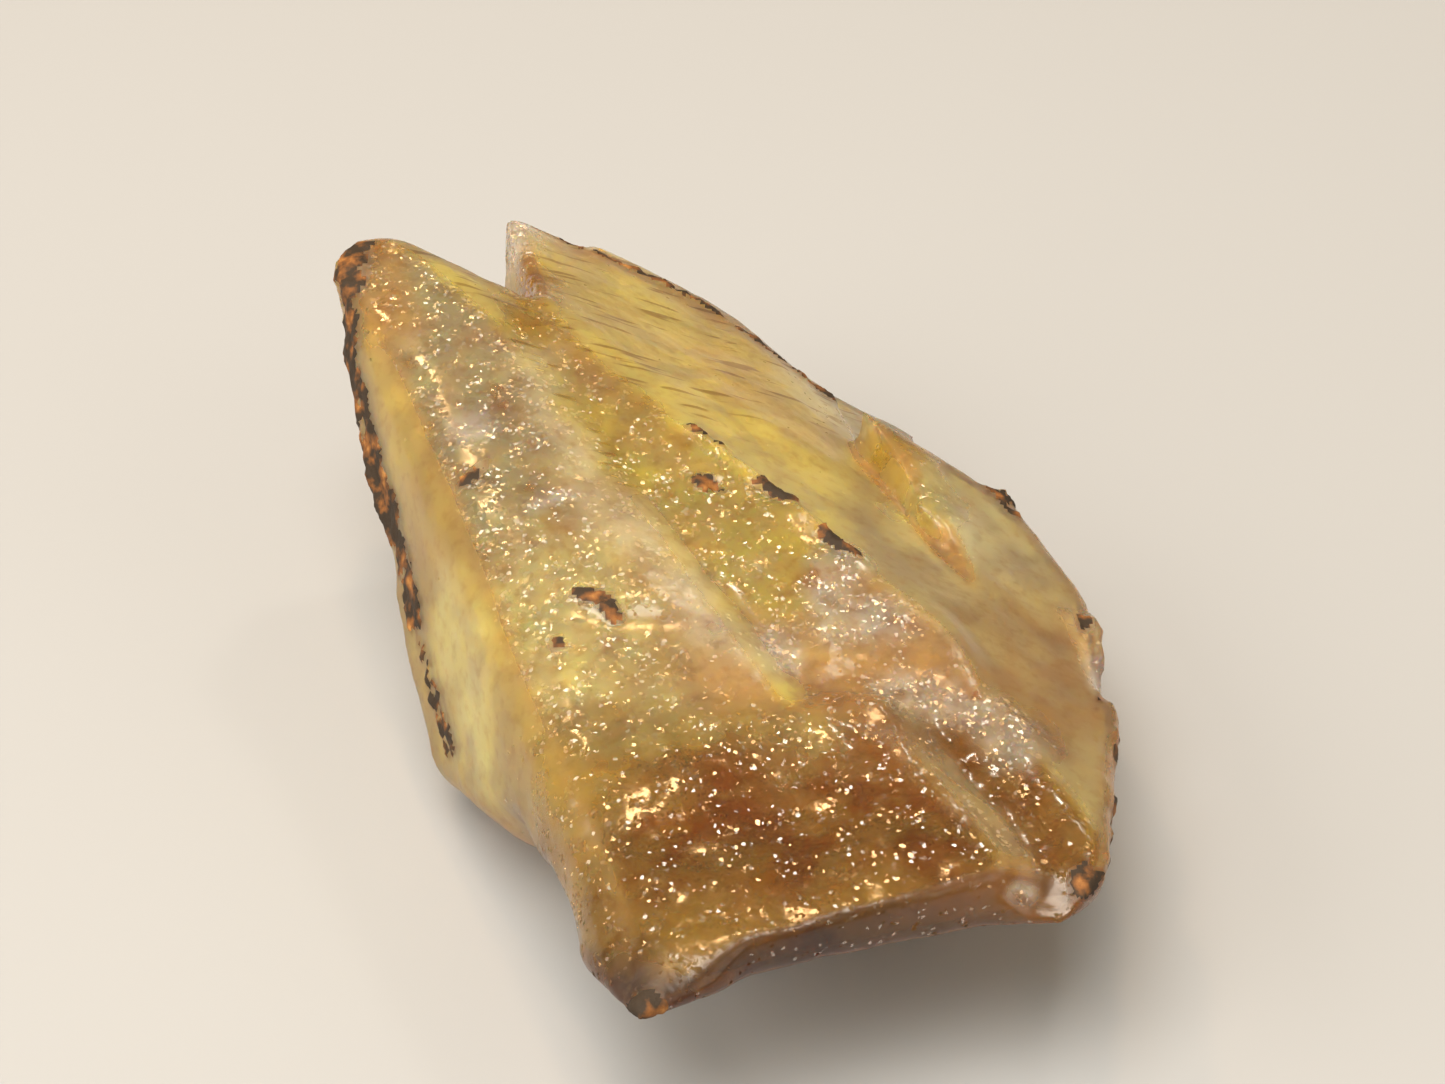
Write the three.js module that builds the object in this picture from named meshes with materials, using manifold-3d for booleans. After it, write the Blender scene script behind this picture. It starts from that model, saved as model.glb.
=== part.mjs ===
// A dogtooth calcite specimen: two big pointed crystals side by side, two small ones behind them
// and a broken base, all of it one piece of calcite.
//
// The crystals grew in parallel, so they share one set of face directions, those of the steep
// scalenohedron that dogtooth spar is named for. Each crystal is a list of those faces, each with
// its own reach: how far it lies from the common centre. Worn, broken and cleaved faces are added
// to the list in the same way. The crystals are joined, then crust is added, and pits, chips,
// hollows and grooves are cut.
//
// Millimetres, +Z up, +Y away from the front. The points lie up, back and to the left.

import * as THREE from 'three';
import { ConvexGeometry } from 'three/addons/geometries/ConvexGeometry.js';
import { mergeVertices } from 'three/addons/utils/BufferGeometryUtils.js';
import Module from 'manifold-3d';

const wasm = await Module();
wasm.setup();

// ---------------------------------------------------------------- driving dimensions

// How the specimen lies, in degrees.
const AXIS_HEADING = 130.1;      // round from +X to where the points lie
const AXIS_RISE = 27.9;          // how steeply the points climb
const SPIN = 77.9;               // turn of the form about its long axis

// The form of calcite, in degrees.
const FORM_LEAN = 69.04;         // from the long axis to the normal of a scalenohedron face
const FORM_SPREAD = 19.1;        // from a blunt edge to the normals on its two sides
const CLEAVAGE_LEAN = 44.61;     // from the long axis to the normal of a cleavage plane
const THIRD_TURN = 120;          // calcite repeats three times about its long axis

// Reaches of the faces, in mm from the common centre.
const LEFT_TOOTH = {
  top: 17.8, roof: 17.4, seam: 13.9, left: 16.7, back: 13.2, point: 32.2, crest: 35.3, corner: 9.6,
};
const RIGHT_TOOTH = {
  top: 16.6, roof: 17.8, left: 9.0, back: 28.4, behind: 19.4, end: 14.5, snapped: 10.3, crest: 33.2,
};
const WHITE_TOOTH = { roof: 16.4, left: 0, back: 27.5, right: 8.0, crest: 18.5, front: -10.0 };
const SIDE_TOOTH = { top: 16.6, flank: 18.6, left: -10.6, back: 15.5, shoulder: 21.8, front: 21.7 };
const HEART = { top: 16.6, roof: 17.8, flank: 18.6, left: 5.0, back: 9.0 };
const BASE = { top: 18.0, step: 8.0, flank: 16.4, left: 16.0, front: 26.2, chin: 3.9, jaw: 9.4 };
const FRONT_CORNER = { step: 5.0, front: 24.6, right: 20.0, end: 8.0 };
const RIGHT_END = { upper: 18.9, lower: 20.2, corner: 27.0 };
const INNER_FRONT = 20.6;        // the teeth stop here, inside the base

// The underside, in mm. It climbs to the front along cleavage, in steps.
const UNDER = { left: 14.0, back: 20.0, shelf: -2.2 };
const FOOTINGS = [
  { under: 1.7, front: 13.0, right: 15.5 },
  { under: 0.4, front: 16.0, right: 12.0 },
  { under: -1.0, front: 18.5, right: 17.0 },
];
const FOOTING_INSET = 1.0;       // how far their sides stay inside the crystals above

// Growth laths, in mm.
const LATH_RISE = 0.22;          // how far each stands above the one under it
const LATH_INSET = 1.1;          // how much narrower each is on its left side
const LATH_TAPER = 0.33;         // and on its right side
const LATH_ROOT = 0.4;           // how far it reaches down into the crystal

// Surface features, in mm.
const CLEARANCE = 0.6;           // how far a cutter stands out of the face that it cuts
const PIT_FLARE = 0.3;           // how much wider a pit's cutter is there, on each side
const CHIP_STEP = 0.8;
const GROOVE_WIDTH = 0.28;
const GROOVE_DEPTH = 0.45;
const ROOF_PITS = 16;

// ---------------------------------------------------------------- directions

const UP = new THREE.Vector3(0, 0, 1);
const DOWN = new THREE.Vector3(0, 0, -1);
const BEHIND = new THREE.Vector3(0, 1, 0);

// A direction given by its compass heading and its pitch above the level.
function facing(heading, pitch) {
  const turn = THREE.MathUtils.degToRad(heading);
  const lift = THREE.MathUtils.degToRad(pitch);
  return new THREE.Vector3(
    Math.cos(lift) * Math.cos(turn),
    Math.cos(lift) * Math.sin(turn),
    Math.sin(lift),
  );
}

const AXIS = facing(AXIS_HEADING, AXIS_RISE);
const LEVEL = new THREE.Vector3().crossVectors(AXIS, UP).normalize();
const UPRIGHT = new THREE.Vector3().crossVectors(LEVEL, AXIS).normalize();

// A direction given by its turn about the long axis and its lean away from that axis.
function crystalDirection(turn, lean) {
  const around = THREE.MathUtils.degToRad(turn);
  const away = THREE.MathUtils.degToRad(lean);
  return new THREE.Vector3()
    .addScaledVector(LEVEL, Math.sin(away) * Math.cos(around))
    .addScaledVector(UPRIGHT, Math.sin(away) * Math.sin(around))
    .addScaledVector(AXIS, Math.cos(away));
}

const formFace = (edge, side) =>
  crystalDirection(SPIN + edge * THIRD_TURN + side * FORM_SPREAD, FORM_LEAN);
const cleavageFace = (edge) =>
  crystalDirection(SPIN + edge * THIRD_TURN, CLEAVAGE_LEAN).negate();

// Grown faces.
const TOP = formFace(0, 1);
const ROOF = formFace(0, -1);
const LEFT_UNDER = formFace(1, 1);
const LEFT = formFace(1, -1);
const BACK = formFace(2, 1);
const BACK_UNDER = formFace(2, -1);

// Cleavage.
const CLEAVED_UNDER = cleavageFace(0);
const CLEAVED_RIGHT = cleavageFace(1);
const CLEAVED_FRONT = cleavageFace(2);

// Bevels where two crystals grew against each other.
const SEAM = facing(17, 59);
const FLANK = facing(15, 64);
const BASE_FLANK = facing(18, 60);
const BASE_STEP = facing(98, 59);
const TOOTH_END = facing(15, 13);
const SHOULDER = facing(24, 8);

// Worn and broken faces of the points.
const LEFT_POINT = facing(157, 9);
const LEFT_CREST = facing(104, 40);
const SNAPPED = facing(190, 11);
const RIGHT_CREST = facing(117, 56);
const RIGHT_BEHIND = facing(45, -12);
const WHITE_CREST = facing(120, 52);
const SIDE_BACK = facing(67, -10);

// Broken faces of the base.
const BASE_FRONT = facing(287, 5);
const SIDE_FRONT = facing(263, 5);
const CORNER_FRONT = facing(303, 8);
const CORNER_RIGHT = facing(320, 13);
const LOST_CORNER = facing(224, -33);
const CHIN = facing(198, -39);
const JAW = facing(217, -37);
const RIM_UPPER = facing(0, -9);
const RIM_LOWER = facing(352, -8);
const RIM_CORNER = facing(318, -5);

// Ends of the growth laths, and where the grooves run to.
const LATH_FRONT_LEFT = facing(262, 38);
const LATH_FRONT_RIGHT = facing(318, 42);
const LATH_BACK = facing(120, 62);
const GROOVE_LEFT = facing(190, 0);

// ---------------------------------------------------------------- solids

const plane = (normal, reach) => ({ normal, reach });
const opposite = (normal, reach) => plane(normal.clone().negate(), -reach);

// The point where three planes meet, or null where they don't meet in one point.
function meeting(a, b, c) {
  const bc = new THREE.Vector3().crossVectors(b.normal, c.normal);
  const volume = a.normal.dot(bc);
  if (Math.abs(volume) < 1e-6) {
    return null;
  }
  const ca = new THREE.Vector3().crossVectors(c.normal, a.normal);
  const ab = new THREE.Vector3().crossVectors(a.normal, b.normal);
  return bc.multiplyScalar(a.reach)
    .addScaledVector(ca, b.reach)
    .addScaledVector(ab, c.reach)
    .divideScalar(volume);
}

function cornersOf(planes) {
  const corners = [];
  for (let i = 0; i < planes.length; i += 1) {
    for (let j = i + 1; j < planes.length; j += 1) {
      for (let k = j + 1; k < planes.length; k += 1) {
        const point = meeting(planes[i], planes[j], planes[k]);
        const inside = point && planes.every((p) => p.normal.dot(point) < p.reach + 1e-6);
        if (inside && !corners.some((corner) => corner.distanceTo(point) < 1e-4)) {
          corners.push(point);
        }
      }
    }
  }
  return corners;
}

function solidOf(geometry) {
  geometry.deleteAttribute('normal');
  geometry.deleteAttribute('uv');
  const merged = mergeVertices(geometry, 1e-5);
  return new wasm.Manifold(new wasm.Mesh({
    numProp: 3,
    vertProperties: new Float32Array(merged.attributes.position.array),
    triVerts: new Uint32Array(merged.index.array),
  }));
}

const hull = (points) => solidOf(new ConvexGeometry(points));
const crystal = (...planes) => hull(cornersOf(planes));
const joined = (solids) => solids.reduce((whole, solid) => whole.add(solid));

// A repeatable number from 0 to 1 for each seed.
function chance(seed) {
  const spread = Math.sin(seed * 12.9898) * 43758.5453;
  return spread - Math.floor(spread);
}

// ---------------------------------------------------------------- crystals

const underFaces = () => [
  plane(LEFT_UNDER, UNDER.left),
  plane(BACK_UNDER, UNDER.back),
  plane(CLEAVED_UNDER, UNDER.shelf),
  plane(DOWN, 0),
];
const rightEnd = () => [
  plane(RIM_UPPER, RIGHT_END.upper),
  plane(RIM_LOWER, RIGHT_END.lower),
  plane(RIM_CORNER, RIGHT_END.corner),
];
const lowerLeftBreak = () => [
  plane(CHIN, BASE.chin),
  plane(JAW, BASE.jaw),
];

// The left point is worn blunt, and its lower corner is broken away.
const leftTooth = crystal(
  plane(TOP, LEFT_TOOTH.top),
  plane(ROOF, LEFT_TOOTH.roof),
  plane(SEAM, LEFT_TOOTH.seam),
  plane(LEFT, LEFT_TOOTH.left),
  plane(BACK, LEFT_TOOTH.back),
  plane(LEFT_POINT, LEFT_TOOTH.point),
  plane(LEFT_CREST, LEFT_TOOTH.crest),
  plane(LOST_CORNER, LEFT_TOOTH.corner),
  plane(CLEAVED_FRONT, INNER_FRONT),
  plane(TOOTH_END, RIGHT_TOOTH.end),
  ...underFaces(),
);

// The right point is snapped off along a face that looks left.
const rightTooth = crystal(
  plane(TOP, RIGHT_TOOTH.top),
  plane(ROOF, RIGHT_TOOTH.roof),
  plane(LEFT, RIGHT_TOOTH.left),
  plane(BACK, RIGHT_TOOTH.back),
  plane(RIGHT_BEHIND, RIGHT_TOOTH.behind),
  plane(TOOTH_END, RIGHT_TOOTH.end),
  plane(SNAPPED, RIGHT_TOOTH.snapped),
  plane(RIGHT_CREST, RIGHT_TOOTH.crest),
  plane(CLEAVED_FRONT, INNER_FRONT),
  ...underFaces(),
);

// A pale tooth that shows only past the end of the right one.
const whiteTooth = crystal(
  plane(ROOF, WHITE_TOOTH.roof),
  plane(LEFT, WHITE_TOOTH.left),
  plane(BACK, WHITE_TOOTH.back),
  plane(CLEAVED_RIGHT, WHITE_TOOTH.right),
  plane(WHITE_CREST, WHITE_TOOTH.crest),
  plane(CLEAVED_FRONT, WHITE_TOOTH.front),
  ...underFaces(),
);

// A rounded tooth at the right, whose flank runs down the whole right side.
const sideTooth = crystal(
  plane(TOP, SIDE_TOOTH.top),
  plane(FLANK, SIDE_TOOTH.flank),
  plane(LEFT, SIDE_TOOTH.left),
  plane(SIDE_BACK, SIDE_TOOTH.back),
  plane(SHOULDER, SIDE_TOOTH.shoulder),
  plane(SIDE_FRONT, SIDE_TOOTH.front),
  ...rightEnd(),
  ...underFaces(),
);

// What fills the middle between the teeth.
const heart = crystal(
  plane(TOP, HEART.top),
  plane(ROOF, HEART.roof),
  plane(FLANK, HEART.flank),
  plane(LEFT, HEART.left),
  plane(BACK, HEART.back),
  plane(SIDE_FRONT, SIDE_TOOTH.front),
  ...rightEnd(),
  ...underFaces(),
);

const base = crystal(
  plane(TOP, BASE.top),
  plane(BASE_STEP, BASE.step),
  plane(BASE_FLANK, BASE.flank),
  plane(LEFT, BASE.left),
  plane(BASE_FRONT, BASE.front),
  ...lowerLeftBreak(),
  ...rightEnd(),
  ...underFaces(),
);

const frontCorner = crystal(
  plane(TOP, LEFT_TOOTH.top),
  plane(BASE_STEP, FRONT_CORNER.step),
  plane(LEFT, LEFT_TOOTH.left),
  plane(CORNER_FRONT, FRONT_CORNER.front),
  plane(CORNER_RIGHT, FRONT_CORNER.right),
  plane(TOOTH_END, FRONT_CORNER.end),
  ...lowerLeftBreak(),
  ...underFaces(),
);

// The steps of the underside, which the specimen rests on.
const footings = FOOTINGS.map(({ under, front, right }) => crystal(
  plane(TOP, HEART.top - FOOTING_INSET),
  plane(SEAM, LEFT_TOOTH.seam - FOOTING_INSET),
  plane(LEFT, LEFT_TOOTH.left - FOOTING_INSET),
  plane(LEFT_UNDER, UNDER.left),
  plane(BACK, HEART.back),
  plane(LOST_CORNER, LEFT_TOOTH.corner - FOOTING_INSET),
  plane(CLEAVED_FRONT, front),
  plane(CLEAVED_RIGHT, right),
  plane(CLEAVED_UNDER, under),
  plane(DOWN, 0),
));

// Growth laths are long low steps on a face, each narrower than the last. On a top face, two bevels
// bring a lath to a blunt point at the front, and one ends it at the back.
function topLath(tooth, step, { frontLeft, frontRight, back }) {
  const seam = tooth.seam ?? HEART.flank;
  return crystal(
    plane(TOP, tooth.top + step * LATH_RISE),
    plane(LEFT, tooth.left - step * LATH_INSET),
    plane(ROOF, tooth.roof - step * LATH_TAPER),
    plane(SEAM, seam - step * LATH_TAPER),
    plane(LATH_FRONT_LEFT, frontLeft),
    plane(LATH_FRONT_RIGHT, frontRight),
    plane(LATH_BACK, back),
    opposite(TOP, tooth.top - LATH_ROOT),
  );
}

function roofLath(step, { top, back, front, behind }) {
  return crystal(
    plane(ROOF, RIGHT_TOOTH.roof + step * LATH_RISE),
    plane(TOP, top),
    plane(BACK, back),
    plane(TOOTH_END, RIGHT_TOOTH.end - step * LATH_INSET),
    plane(RIGHT_BEHIND, RIGHT_TOOTH.behind - step * LATH_INSET),
    plane(LATH_FRONT_RIGHT, front),
    plane(LATH_BACK, behind),
    opposite(ROOF, RIGHT_TOOTH.roof - LATH_ROOT),
  );
}

const laths = [
  topLath(LEFT_TOOTH, 1, { frontLeft: 12.5, frontRight: 9.0, back: 31.0 }),
  topLath(LEFT_TOOTH, 2, { frontLeft: 15.0, frontRight: 13.5, back: 23.0 }),
  topLath(RIGHT_TOOTH, 1, { frontLeft: 14.5, frontRight: 12.5, back: 24.5 }),
  roofLath(1, { top: 15.6, back: 26.8, front: 5.0, behind: 28.0 }),
  roofLath(2, { top: 13.6, back: 24.0, front: 7.5, behind: 21.5 }),
];

const crystals = joined([
  leftTooth, rightTooth, whiteTooth, sideTooth, heart, base, frontCorner, ...footings, ...laths,
]);

// ---------------------------------------------------------------- places on the faces

const LEFT_TOP = plane(TOP, LEFT_TOOTH.top);
const LEFT_SIDE = plane(LEFT, LEFT_TOOTH.left);
const LEFT_BELOW = plane(LEFT_UNDER, UNDER.left);
const RIGHT_TOP = plane(TOP, RIGHT_TOOTH.top);
const RIGHT_ROOF = plane(ROOF, RIGHT_TOOTH.roof);
const RIGHT_BACK = plane(BACK, RIGHT_TOOTH.back);
const SIDE_FLANK = plane(FLANK, SIDE_TOOTH.flank);
const BASE_TOP = plane(TOP, BASE.top);
const RIGHT_RIM = plane(RIM_UPPER, RIGHT_END.upper);

// The point of a face over x, y.
function spotOn(face, x, y) {
  const { normal, reach } = face;
  return new THREE.Vector3(x, y, (reach - normal.x * x - normal.y * y) / normal.z);
}

// The point of an edge between two faces, so far back along +Y.
const edgeSpot = (faceA, faceB, y) => meeting(faceA, faceB, plane(BEHIND, y));

// A point beside a spot on a face: so far forward to where the points lie, sideways, and out.
function beside(face, spot, forward, side, out) {
  const { normal } = face;
  const along = AXIS.clone().addScaledVector(normal, -AXIS.dot(normal)).normalize();
  const across = new THREE.Vector3().crossVectors(normal, along);
  return spot.clone()
    .addScaledVector(along, forward)
    .addScaledVector(across, side)
    .addScaledVector(normal, out);
}

// ---------------------------------------------------------------- crust

// A knobbly lump on a face, longer the way the crystal grew.
function lump(face, spot, { length, width, rise, seed }) {
  const { position } = new THREE.IcosahedronGeometry(1, 0).attributes;
  const corners = [];
  for (let i = 0; i < position.count; i += 1) {
    const corner = new THREE.Vector3().fromBufferAttribute(position, i);
    const key = Math.round(7 * corner.x + 31 * corner.y + 53 * corner.z);
    corner.multiplyScalar(0.7 + 0.6 * chance(seed + key));
    corners.push(beside(
      face, spot, 0.5 * length * corner.x, 0.5 * width * corner.y, rise * corner.z,
    ));
  }
  return hull(corners);
}

// Crust along an edge, between two distances back along +Y.
function edgeCrust(faceA, faceB, { from, to, step, size, seed }) {
  const lumps = [];
  for (let y = from; y <= to; y += step) {
    lumps.push(lump(faceA, edgeSpot(faceA, faceB, y), {
      length: size * (1.6 + 1.4 * chance(seed + y)),
      width: size * (0.8 + 0.7 * chance(seed + 2 * y)),
      rise: size * (0.3 + 0.4 * chance(seed + 3 * y)),
      seed: seed + y,
    }));
  }
  return lumps;
}

const crust = [
  ...edgeCrust(LEFT_SIDE, LEFT_BELOW, { from: 9, to: 17.5, step: 0.7, size: 0.9, seed: 1 }),
  ...edgeCrust(LEFT_SIDE, LEFT_BELOW, { from: 1, to: 5.5, step: 0.8, size: 0.7, seed: 2 }),
  ...edgeCrust(LEFT_SIDE, LEFT_BELOW, { from: -3.4, to: -2, step: 0.7, size: 0.6, seed: 3 }),
  ...edgeCrust(RIGHT_TOP, RIGHT_ROOF, { from: 0.5, to: 9.5, step: 0.55, size: 0.8, seed: 4 }),
  ...edgeCrust(RIGHT_RIM, SIDE_FLANK, { from: -9, to: 2, step: 0.9, size: 0.8, seed: 5 }),
  lump(LEFT_TOP, spotOn(LEFT_TOP, -21.0, 20.6), { length: 2.2, width: 1.6, rise: 0.4, seed: 6 }),
  lump(LEFT_TOP, spotOn(LEFT_TOP, -20.0, 22.6), { length: 1.8, width: 1.4, rise: 0.4, seed: 7 }),
  lump(LEFT_TOP, spotOn(LEFT_TOP, -14.6, 4.4), { length: 0.9, width: 1.9, rise: 0.6, seed: 8 }),
  lump(LEFT_TOP, spotOn(LEFT_TOP, -13.6, 5.1), { length: 1.0, width: 1.2, rise: 0.7, seed: 9 }),
  lump(LEFT_TOP, spotOn(LEFT_TOP, -7.1, -4.0), { length: 1.0, width: 1.8, rise: 0.7, seed: 10 }),
  lump(LEFT_TOP, spotOn(LEFT_TOP, -6.2, -4.6), { length: 1.4, width: 1.0, rise: 0.8, seed: 11 }),
  lump(SIDE_FLANK, spotOn(SIDE_FLANK, 16.2, 12.1), { length: 1.8, width: 1.4, rise: 0.7, seed: 12 }),
];

// Two rounded knobs at the neck of the side tooth.
const knobs = [
  lump(SIDE_FLANK, spotOn(SIDE_FLANK, 11.2, 12.4), { length: 4.4, width: 3.0, rise: 0.5, seed: 13 }),
  lump(SIDE_FLANK, spotOn(SIDE_FLANK, 12.4, 7.4), { length: 4.6, width: 3.2, rise: 0.4, seed: 14 }),
];

// ---------------------------------------------------------------- pits, chips and hollows

// A three-sided etch pit with a sharp floor.
function etchPit(face, spot, { length, width, depth }) {
  const front = 0.6 * length + PIT_FLARE;
  const back = -0.4 * length - PIT_FLARE;
  const side = 0.5 * width + PIT_FLARE;
  return hull([
    beside(face, spot, front, 0.1 * width, CLEARANCE),
    beside(face, spot, back, side, CLEARANCE),
    beside(face, spot, back, -side, CLEARANCE),
    beside(face, spot, 0.1 * length, 0, -depth),
  ]);
}

const pits = [
  etchPit(LEFT_TOP, spotOn(LEFT_TOP, -8.6, -7.0), { length: 1.3, width: 1.0, depth: 0.9 }),
  etchPit(RIGHT_TOP, spotOn(RIGHT_TOP, -0.4, 5.2), { length: 1.8, width: 1.5, depth: 1.0 }),
  etchPit(RIGHT_TOP, spotOn(RIGHT_TOP, 2.6, 4.6), { length: 2.6, width: 0.9, depth: 0.8 }),
  etchPit(RIGHT_TOP, spotOn(RIGHT_TOP, 6.3, 0.8), { length: 2.0, width: 0.8, depth: 0.8 }),
  etchPit(BASE_TOP, spotOn(BASE_TOP, 8.6, -14.6), { length: 3.0, width: 0.7, depth: 0.9 }),
];

// Thin pits scattered over the roof of the right tooth, inward from its ridge.
for (let i = 0; i < ROOF_PITS; i += 1) {
  const ridge = edgeSpot(RIGHT_TOP, RIGHT_ROOF, 8 + 20 * chance(3 * i));
  const inward = 1.5 + 7 * chance(5 * i);
  const spot = spotOn(RIGHT_ROOF, ridge.x + 0.75 * inward, ridge.y + 0.65 * inward);
  const width = 0.35 + 0.9 * chance(7 * i);
  pits.push(etchPit(RIGHT_ROOF, spot, { length: 0.7, width, depth: 0.35 }));
}

// Chips along the back edge of the right tooth.
const chips = [];
for (let y = 19; y < 33; y += CHIP_STEP) {
  const size = 0.5 + 0.5 * chance(y);
  const spot = edgeSpot(RIGHT_ROOF, RIGHT_BACK, y)
    .addScaledVector(ROOF, 0.3 * size)
    .addScaledVector(BACK, 0.3 * size);
  chips.push(lump(RIGHT_BACK, spot, {
    length: 1.6 * size, width: 1.4 * size, rise: 0.7 * size, seed: 20 + y,
  }));
}

// A shallow round hollow, as calcite leaves where it chips.
function scoop(normal, spot, { radius, depth }) {
  const geometry = new THREE.IcosahedronGeometry(radius, 3);
  const centre = spot.clone().addScaledVector(normal, radius - depth);
  geometry.translate(centre.x, centre.y, centre.z);
  return solidOf(geometry);
}

const scoops = [
  scoop(TOP, spotOn(BASE_TOP, 7.4, -12.4), { radius: 6.0, depth: 0.4 }),
  scoop(facing(0, 20), new THREE.Vector3(20.6, -3.9, 11.4), { radius: 2.6, depth: 0.5 }),
  scoop(facing(310, 40), new THREE.Vector3(15.2, -21.6, 13.6), { radius: 2.6, depth: 0.5 }),
  scoop(LOST_CORNER, new THREE.Vector3(-11.5, -12.5, 8.6), { radius: 9.0, depth: 0.9 }),
  scoop(SNAPPED, new THREE.Vector3(-12.6, 29.0, 16.5), { radius: 3.0, depth: 0.25 }),
];

// ---------------------------------------------------------------- grooves

// Grooves split the broken front into splinters. Each is a thin wedge cut in from the front face
// at a height up it, tipped a little so that no two run quite alongside.
function frontGroove(front, height, { tip, from, to }) {
  const tipped = TOP.clone().applyAxisAngle(front.normal, THREE.MathUtils.degToRad(tip));
  return crystal(
    plane(tipped, height),
    opposite(tipped, height - GROOVE_WIDTH),
    plane(front.normal, front.reach + CLEARANCE),
    opposite(front.normal, front.reach - GROOVE_DEPTH),
    plane(GROOVE_LEFT, -from),
    opposite(GROOVE_LEFT, -to),
  );
}

const baseFront = plane(BASE_FRONT, BASE.front);
const sideFront = plane(SIDE_FRONT, SIDE_TOOTH.front);
const grooves = [
  frontGroove(baseFront, BASE.top - 0.9, { tip: 2, from: -1, to: 10 }),
  frontGroove(baseFront, BASE.top - 1.6, { tip: -2, from: 3, to: 14 }),
  frontGroove(baseFront, BASE.top - 2.4, { tip: 3, from: 0, to: 9 }),
  frontGroove(sideFront, SIDE_TOOTH.top - 0.8, { tip: -2, from: 11, to: 17 }),
  frontGroove(sideFront, SIDE_TOOTH.top - 1.5, { tip: 3, from: 9, to: 16 }),
];

const specimen = joined([crystals, ...crust, ...knobs])
  .subtract(joined([...pits, ...chips, ...scoops, ...grooves]));

// ---------------------------------------------------------------- the finished mesh

function geometryOf(solid) {
  const mesh = solid.getMesh();
  const geometry = new THREE.BufferGeometry();
  geometry.setAttribute('position', new THREE.BufferAttribute(mesh.vertProperties, 3));
  geometry.setIndex(new THREE.BufferAttribute(mesh.triVerts, 1));
  return geometry;
}

// The origin goes under the middle of the specimen, on the surface that it rests on.
function centreOverOrigin(geometry) {
  geometry.computeBoundingBox();
  const { min, max } = geometry.boundingBox;
  return geometry.translate(-0.5 * (min.x + max.x), -0.5 * (min.y + max.y), -min.z);
}

const calcite = new THREE.MeshStandardMaterial({ color: '#c79a4b', roughness: 0.25, metalness: 0 });
const body = new THREE.Mesh(centreOverOrigin(geometryOf(specimen)), calcite);
body.name = 'calcite_crystal';

const cluster = new THREE.Group();
cluster.add(body);

export default cluster;
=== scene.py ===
# %% [markdown]
# # A dogtooth calcite specimen
# The solid model gives this specimen its crystals, its broken base and its ledges, in flat faces.
# Real calcite is never that clean: it is etched, pitted, stained and cloudy, and light soaks into
# it. This lesson makes one finely meshed stone around the solid, carves that small relief into it,
# paints its stains by place, and gives it a see-through honey-coloured material.

# %% Load the frame
import math

import bmesh
import bpy
import numpy as np
from mathutils import Matrix, Vector, noise


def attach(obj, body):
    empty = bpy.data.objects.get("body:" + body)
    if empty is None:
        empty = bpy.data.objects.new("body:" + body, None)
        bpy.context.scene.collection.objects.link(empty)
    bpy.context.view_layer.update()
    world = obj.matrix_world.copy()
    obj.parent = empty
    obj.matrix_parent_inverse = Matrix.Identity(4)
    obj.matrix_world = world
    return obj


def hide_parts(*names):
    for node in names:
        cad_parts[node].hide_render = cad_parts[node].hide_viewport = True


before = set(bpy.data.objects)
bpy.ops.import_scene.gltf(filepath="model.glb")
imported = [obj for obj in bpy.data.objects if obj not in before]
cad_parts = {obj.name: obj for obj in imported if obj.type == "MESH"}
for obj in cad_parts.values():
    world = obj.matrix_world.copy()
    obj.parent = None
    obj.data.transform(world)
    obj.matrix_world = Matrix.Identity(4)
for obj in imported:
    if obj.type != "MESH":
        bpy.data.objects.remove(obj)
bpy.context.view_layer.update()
MM = 0.001

# %% [markdown]
# ## The camera
# A close view from the front and 40 degrees up, with a long lens, as a collector would take it.
# It looks at a point near the middle of the stone.

# %% Camera
LOOK_AT = Vector((0.66, -2.27, 18.0)) * MM
CAMERA_DISTANCE = 184.2 * MM
CAMERA_ELEVATION = math.radians(40)

camera = bpy.data.objects.new("camera", bpy.data.cameras.new("camera"))
bpy.context.collection.objects.link(camera)
camera.data.lens = 85
camera.data.sensor_width = 36
camera.data.clip_start = 0.01
back_off = Vector((0, -math.cos(CAMERA_ELEVATION), math.sin(CAMERA_ELEVATION)))
camera.location = LOOK_AT + back_off * CAMERA_DISTANCE
camera.rotation_euler = (math.pi / 2 - CAMERA_ELEVATION, 0, 0)
bpy.context.scene.camera = camera
print("camera at, mm:", [round(v / MM, 1) for v in camera.location])

# %% [markdown]
# ## The directions of the crystal
# Every face of every tooth follows one set of directions, fixed by how calcite grows. The long
# axis runs up, back and to the left, to the points. Etch pits, growth hillocks and streaks are
# all longer that way, so the relief and the stains are laid out along it too.

# %% Directions
AXIS_HEADING, AXIS_RISE, SPIN = 130.1, 27.9, 77.9
FORM_LEAN, FORM_SPREAD, THIRD_TURN = 69.04, 19.1, 120


def facing(heading, pitch):
    """A unit vector from its compass heading and its pitch above the level, in degrees."""
    turn, lift = math.radians(heading), math.radians(pitch)
    return np.array([
        math.cos(lift) * math.cos(turn), math.cos(lift) * math.sin(turn), math.sin(lift),
    ])


def unit(vector):
    return vector / np.linalg.norm(vector)


AXIS = facing(AXIS_HEADING, AXIS_RISE)
LEVEL = unit(np.cross(AXIS, (0, 0, 1)))
UPRIGHT = unit(np.cross(LEVEL, AXIS))


def form_face(edge, side):
    """The normal of one grown face, found by its turn about the long axis."""
    turn = math.radians(SPIN + edge * THIRD_TURN + side * FORM_SPREAD)
    lean = math.radians(FORM_LEAN)
    around = math.cos(turn) * LEVEL + math.sin(turn) * UPRIGHT
    return math.sin(lean) * around + math.cos(lean) * AXIS


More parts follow.
